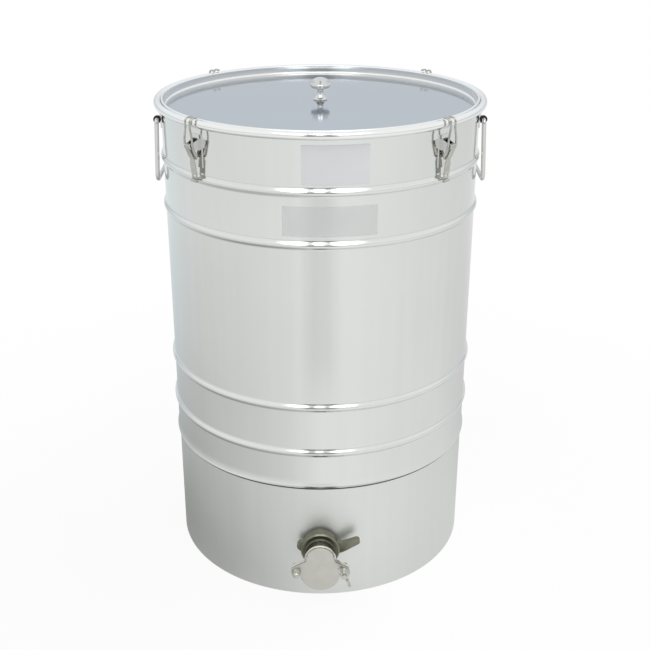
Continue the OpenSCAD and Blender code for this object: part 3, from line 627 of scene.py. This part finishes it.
def studio_floor():
    """Pale floor, white to the camera but for the drum's shadow, with painted shadow in mirrors and white
    through film.
    """
    low, high = -FLOOR_HALF, FLOOR_HALF
    corners = [(x, y, FLOOR_Z) for x, y in ((low, low), (high, low), (high, high), (low, high))]
    mesh = bpy.data.meshes.new("floor")
    mesh.from_pydata(corners, [], [(0, 1, 2, 3)])
    obj = add("floor", mesh)
    kit = Finish(bpy.data.materials.new("pale_floor"))
    seen, mirrored, through = kit.rays("Is Camera Ray", "Is Glossy Ray", "Is Transmission Ray")
    x, y, _ = kit.parts(kit.place())
    away = (x * x + y * y) ** 0.5
    turn = x.math("ARCTAN2", x * -1.0, y * -1.0) / (2.0 * math.pi) + 0.5
    clear = kit.ramp(away * FAR, (0.12, 0.9), (0.3, 1.0))
    cloth = kit.noise(kit.place(), scale=1.4)
    pale = kit.mix(cloth, (0.88, 0.88, 0.88), (0.9, 0.9, 0.9))
    white = kit.node("ShaderNodeBsdfDiffuse", {}, {0: pale})
    glow = kit.node("ShaderNodeEmission", {}, {0: floor_light(kit, mirrored, turn, away), 1: 1.0})
    share = seen * clear + mirrored * FLOOR_MIRRORED + through * FLOOR_THROUGH
    both = kit.node("ShaderNodeMixShader", {}, {0: share, 1: white, 2: glow})
    kit.node("ShaderNodeOutputMaterial", {}, {0: both})
    mesh.materials.append(kit.owner)


def studio_world():
    """Pale room, cooler towards the back and white to the camera.

    Mirrored, it darkens towards the skyline and in a strip on each side of the camera.
    """
    world = bpy.data.worlds.new("studio")
    bpy.context.scene.world = world
    kit = Finish(world)
    x, y, z = kit.parts(kit.node("ShaderNodeTexCoord", {}, {}, 0))
    seen, mirrored = kit.rays("Is Camera Ray", "Is Glossy Ray")
    fill = kit.ramp(z, (0.0, 0.86), (0.45, 0.78), (0.65, 0.45), (1.0, 0.4))
    aside = x.math("ABSOLUTE", x.math("ARCTAN2", x, y * -1.0))
    strip = kit.ramp(aside, (0.04, 0.6), (0.08, 1.0), (0.18, 1.0), (0.22, 0.0))
    strip = strip * kit.ramp(z, (0.75, 1.0), (0.88, 0.0))
    tone = kit.mix(kit.ramp(y, (0.15, 0.0), (0.7, 1.0)), (1.0, 1.0, 0.99), (0.93, 0.965, 1.0))
    tone = kit.mix(seen, tone, WHITE)
    skyline = kit.ramp(z, (0.02, 0.66), (0.12, 0.78), (0.35, 0.96))
    level = mirrored * (skyline - strip * 0.6) + seen + (1.0 - mirrored - seen) * fill
    back = kit.node("ShaderNodeBackground", {}, {0: kit.mix(level, BLACK, tone), 1: 1.0})
    kit.node("ShaderNodeOutputWorld", {}, {0: back})


def facing(way):
    """Rotation of a lamp that shines along a direction."""
    return way.to_track_quat("-Z", "Y").to_euler()


def pane(name, x0, x1):
    """Softbox from x0 to x1, above and in front, as bright to the metre as the others."""
    lamp = bpy.data.lights.new(name, "AREA")
    lamp.shape = "RECTANGLE"
    lamp.size, lamp.size_y = x1 - x0, PANE_DEPTH
    lamp.energy = PANE_POWER * (x1 - x0)
    mid = (x0 + x1) / 2
    at, aim = Vector((mid, PANE_Y, PANE_Z)), Vector((mid, PANE_AIM_Y, 0.0))
    obj = add(name, lamp)
    obj.location = at
    obj.rotation_euler = facing(aim - at)


def key_light():
    """Broad light from the right and behind, not mirrored in the steel."""
    lamp = bpy.data.lights.new("key", "SUN")
    lamp.energy = KEY_POWER
    lamp.angle = math.radians(KEY_SPREAD)
    obj = add("key", lamp)
    obj.rotation_euler = facing(KEY_WAY)
    obj.visible_glossy = False


def photo_camera():
    """Camera in front of the drum, looking down on it."""
    camera = bpy.data.cameras.new("camera")
    camera.lens = CAMERA_LENS
    camera.sensor_width = 36.0
    camera.shift_x = CAMERA_SHIFT
    camera.clip_start = 0.05
    camera.clip_end = 100.0
    obj = add("camera", camera)
    obj.location = CAMERA_AT
    obj.rotation_euler = (math.radians(90.0 - CAMERA_DOWN), 0.0, 0.0)
    bpy.context.scene.camera = obj


studio_floor()
studio_world()
for name, left, right in PANES:
    pane(name, left, right)
key_light()
photo_camera()
bpy.context.scene.view_settings.view_transform = "Standard"
